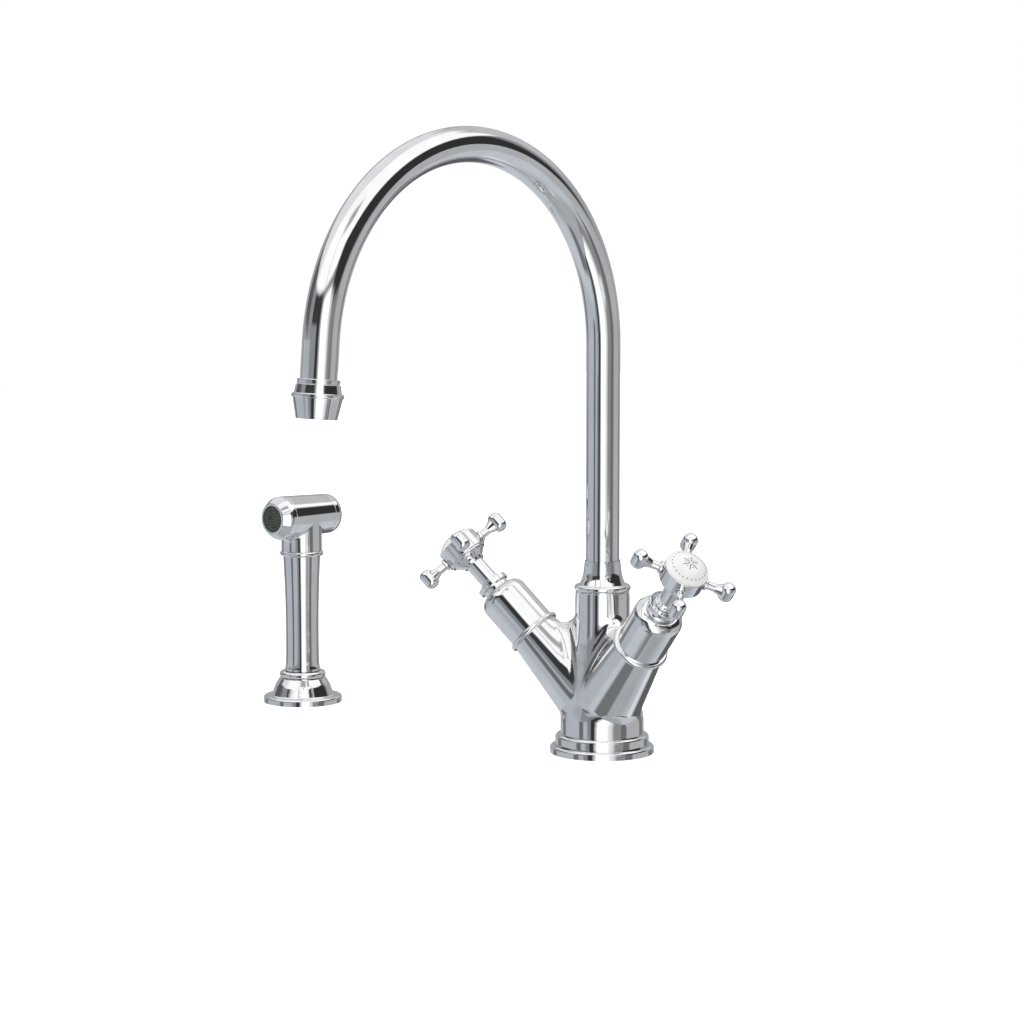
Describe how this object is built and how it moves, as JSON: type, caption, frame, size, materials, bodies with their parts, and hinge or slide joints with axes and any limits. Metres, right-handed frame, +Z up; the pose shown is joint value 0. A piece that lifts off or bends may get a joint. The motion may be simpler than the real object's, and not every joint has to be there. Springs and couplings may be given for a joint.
{
  "type": "side spray kitchen faucet",
  "caption": "Single-hole kitchen tap with a tall swivelling swan-neck spout, slanting cross-handle valves and a lift-out side spray in its own deck holder.",
  "frame": {"origin": "middle of the faucet foot's underside, on the deck", "axes": "+Z up along the column; the spout reaches towards -Y; +X towards the cold handle, away from the side spray"},
  "size_m": [0.4231, 0.2977, 0.3961],
  "materials": {
    "chrome": "polished chrome plate over brass",
    "brass": "machined brass",
    "porcelain": "glossy white glaze",
    "valve_ceramic": "lapped ceramic",
    "rubber": "smooth black rubber",
    "plastic": "moulded acetal",
    "steel": "stainless steel",
    "outlet": "matt dark grey outlet plate"
  },
  "bodies": {
    "faucet_body": {"body_casting": "chrome", "base_ring": "chrome", "base_gasket": "rubber", "spout_collar": "chrome", "spout_bush": "plastic", "diverter_sleeve": "plastic", "diverter_spring": "steel", "cold_valve_seal": "rubber", "cold_headwork": "brass", "cold_fixed_disc": "valve_ceramic", "cold_bell": "chrome", "cold_bell_nut": "chrome", "hot_valve_seal": "rubber", "hot_headwork": "brass", "hot_fixed_disc": "valve_ceramic", "hot_bell": "chrome", "hot_bell_nut": "chrome", "spray_holder": "chrome", "holder_gasket": "rubber", "holder_liner": "plastic"},
    "spout": {"spout_tube": "chrome", "spout_spigot": "brass", "spout_o_rings": "rubber", "spout_thrust_washer": "plastic", "nozzle": "chrome", "aerator_washer": "rubber", "aerator_housing": "plastic", "aerator_mesh": "steel"},
    "cold_handle": {"cold_moving_disc": "valve_ceramic", "cold_spindle": "brass", "cold_neck_sleeve": "chrome", "cold_handle_hub": "chrome", "cold_handle_spokes": "chrome", "cold_handle_screw": "steel", "cold_index_disc": "porcelain"},
    "hot_handle": {"hot_moving_disc": "valve_ceramic", "hot_spindle": "brass", "hot_neck_sleeve": "chrome", "hot_handle_hub": "chrome", "hot_handle_spokes": "chrome", "hot_handle_screw": "steel", "hot_index_disc": "porcelain"},
    "diverter": {"diverter_piston": "brass"},
    "spray": {"spray_tail": "brass", "spray_grip": "chrome", "spray_bead": "chrome", "spray_head": "chrome", "spray_nose": "chrome", "spray_face": "outlet", "spray_rear_cap": "chrome", "spray_spring": "steel"},
    "spray_trigger": {"spray_button": "chrome", "spray_stem": "steel", "spray_seal": "rubber"}
  },
  "joints": [
    {"name": "spout_swivel", "type": "hinge", "parent": "faucet_body", "child": "spout", "pos_m": [0, 0, 0.1], "axis": [0, 0, 1], "continuous": true},
    {"name": "cold_turn", "type": "hinge", "parent": "faucet_body", "child": "cold_handle", "pos_m": [0, 0, 0.0274], "axis": [0.6686, -0.2302, 0.7071], "range_deg": [-90, 0]},
    {"name": "hot_turn", "type": "hinge", "parent": "faucet_body", "child": "hot_handle", "pos_m": [0, 0, 0.0274], "axis": [-0.6686, -0.2302, 0.7071], "range_deg": [0, 90]},
    {"name": "diverter_slide", "type": "slide", "parent": "faucet_body", "child": "diverter", "axis": [0, 0, 1], "range_m": [0, 0.003], "stiffness_N_per_m": 120, "springref_m": -0.002, "deforming": ["diverter_spring"]},
    {"name": "spray_lift", "type": "slide", "parent": "faucet_body", "child": "spray", "axis": [0, 0, 1], "range_m": [0, 0.15]},
    {"name": "button_press", "type": "slide", "parent": "spray", "child": "spray_trigger", "axis": [0, -1, 0], "range_m": [0, 0.0025], "stiffness_N_per_m": 400, "springref_m": -0.003, "deforming": ["spray_spring"]}
  ]
}
